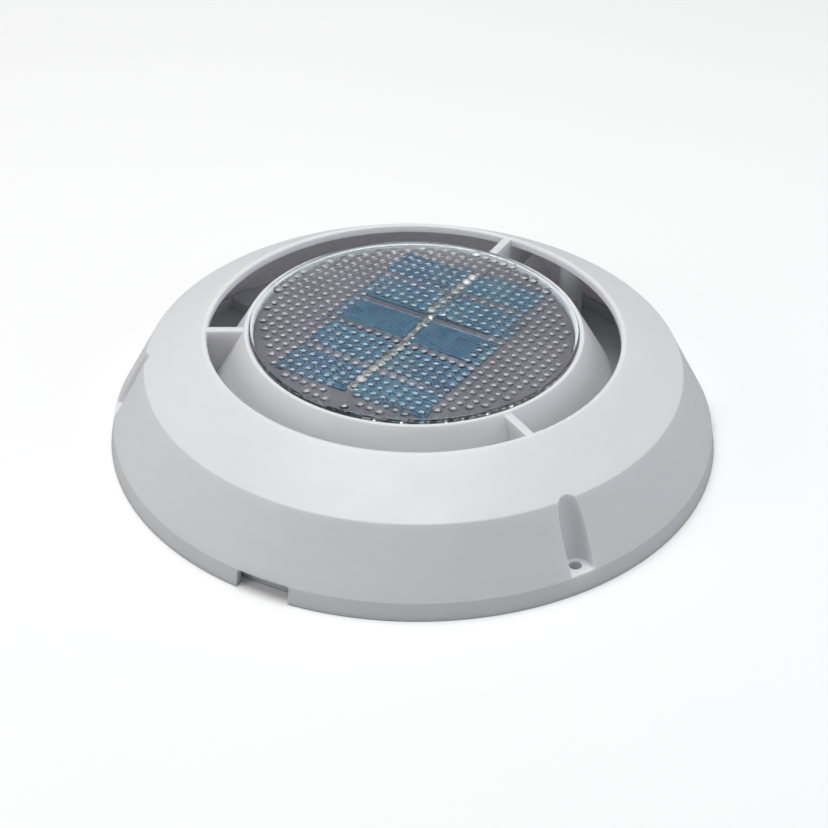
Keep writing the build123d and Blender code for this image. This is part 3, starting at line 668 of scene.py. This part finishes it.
def make_screen():
    """Woven insect screen: square wires that pass over and under each other, in a pressed rim."""
    radius = outer_radius("insect_screen")
    low, high = bottom("insect_screen"), top("insect_screen")
    middle = (low + high) / 2
    rows = int(radius / WIRE_PITCH)
    bm = bmesh.new()
    for turned in (0, 1):
        turn = Matrix.Rotation(turned * pi / 2, 4, "Z")
        for row in range(-rows, rows + 1):
            y = row * WIRE_PITCH
            reach = int(sqrt(radius ** 2 - y ** 2) / WIRE_PITCH)
            previous = None
            for column in range(-reach, reach + 1):
                over = 1 if (row + column + turned) % 2 else -1
                centre = Vector((column * WIRE_PITCH, y, middle + over * WIRE_WAVE * WIRE_RADIUS))
                section = [bm.verts.new(turn @ (centre + WIRE_RADIUS * Vector(corner)))
                           for corner in ((0, -1, 0), (0, 0, -1), (0, 1, 0), (0, 0, 1))]
                if previous:
                    skin(bm, previous, section)
                else:
                    bm.faces.new(section)
                previous = section
            bm.faces.new(reversed(previous))
    inner = radius - SCREEN_RIM
    profile = ((inner, low), (radius, low), (radius, high), (inner, high))
    rim = [circle_of(bm, ring_radius, z, SCREEN_SIDES) for ring_radius, z in profile]
    for ring, following in zip(rim, rim[1:] + rim[:1]):
        skin(bm, ring, following)
    bmesh.ops.recalc_face_normals(bm, faces=bm.faces)
    mesh = bpy.data.meshes.new("woven_screen")
    bm.to_mesh(mesh)
    bm.free()
    smooth(mesh, 100)
    add_piece("woven_screen", mesh, steel, "housing", "steel", "insect_screen")


make_lens()
make_fingers()
make_links()
make_ribbon()
make_screen()


# ---- stage and light -------------------------------------------------------
FLOOR_HALF = 3.0
FLOOR_SEGMENTS = 8
FLOOR_GAP = 0.1 * MM  # under the object
FLOOR_BOUNCE = (0.42, 0.42, 0.42, 1)  # the floor's colour as the object sees it


def make_stage():
    """Plain pale floor, which throws less light back up at the object than it shows the camera."""
    s = Shader("floor")
    drift = s.ramp(s.noise(3), 0.3, 0.7)
    s.feed("Base Color", s.mix(drift, srgb(254, 254, 254), srgb(252, 252, 252)))
    s.set(Roughness=0.9)
    dull = s.node("ShaderNodeBsdfDiffuse")
    dull.inputs["Color"].default_value = FLOOR_BOUNCE
    mixed = s.node("ShaderNodeMixShader")
    s.link(s.node("ShaderNodeLightPath").outputs["Is Camera Ray"], mixed.inputs["Fac"])
    s.link(dull.outputs[0], mixed.inputs[1])
    s.link(s.principled.outputs[0], mixed.inputs[2])
    s.link(mixed.outputs[0], s.output.inputs["Surface"])
    bm = bmesh.new()
    bmesh.ops.create_grid(bm, x_segments=FLOOR_SEGMENTS, y_segments=FLOOR_SEGMENTS,
                          size=FLOOR_HALF)
    mesh = bpy.data.meshes.new("floor")
    bm.to_mesh(mesh)
    bm.free()
    mesh.materials.append(s.material)
    floor = bpy.data.objects.new("floor", mesh)
    floor.location.z = cad_box[0][2] - FLOOR_GAP
    bpy.context.scene.collection.objects.link(floor)


# Soft lamps that face the object: place, diameter, watts and colour.
LAMPS = {
    "overhead": ((-0.1, 0.12, 1.5), 1.4, 18.8, (1, 1, 1)),
    "left": ((-0.8, -0.35, 0.45), 0.6, 1.5, (1, 1, 1)),
    "right": ((0.85, -0.3, 0.5), 0.6, 1.4, (0.84, 0.91, 1.0)),
}
WORLD_AS_LAMP = 0.2
WORLD_AS_SEEN = 1.0


def area_light(name, place, size, power, colour):
    """Round soft lamp that faces the origin."""
    data = bpy.data.lights.new(name, "AREA")
    data.shape = "DISK"
    data.size = size
    data.energy = power
    data.color = colour
    light = bpy.data.objects.new(name, data)
    light.location = place
    light.rotation_euler = (-Vector(place)).to_track_quat("-Z", "Y").to_euler()
    bpy.context.scene.collection.objects.link(light)


def make_light():
    """Soft studio light, and a world that is white to the camera but dim as a lamp."""
    world = bpy.data.worlds.new("studio")
    world.use_nodes = True
    background = world.node_tree.nodes["Background"]
    background.inputs["Color"].default_value = (1.0, 1.0, 1.0, 1)
    seen = world.node_tree.nodes.new("ShaderNodeLightPath")
    strength = world.node_tree.nodes.new("ShaderNodeMapRange")
    strength.inputs["To Min"].default_value = WORLD_AS_LAMP
    strength.inputs["To Max"].default_value = WORLD_AS_SEEN
    world.node_tree.links.new(seen.outputs["Is Camera Ray"], strength.inputs["Value"])
    world.node_tree.links.new(strength.outputs["Result"], background.inputs["Strength"])
    bpy.context.scene.world = world
    for name, (place, size, power, colour) in LAMPS.items():
        area_light(name, place, size, power, colour)
    bpy.context.scene.view_settings.view_transform = "Standard"


make_stage()
make_light()
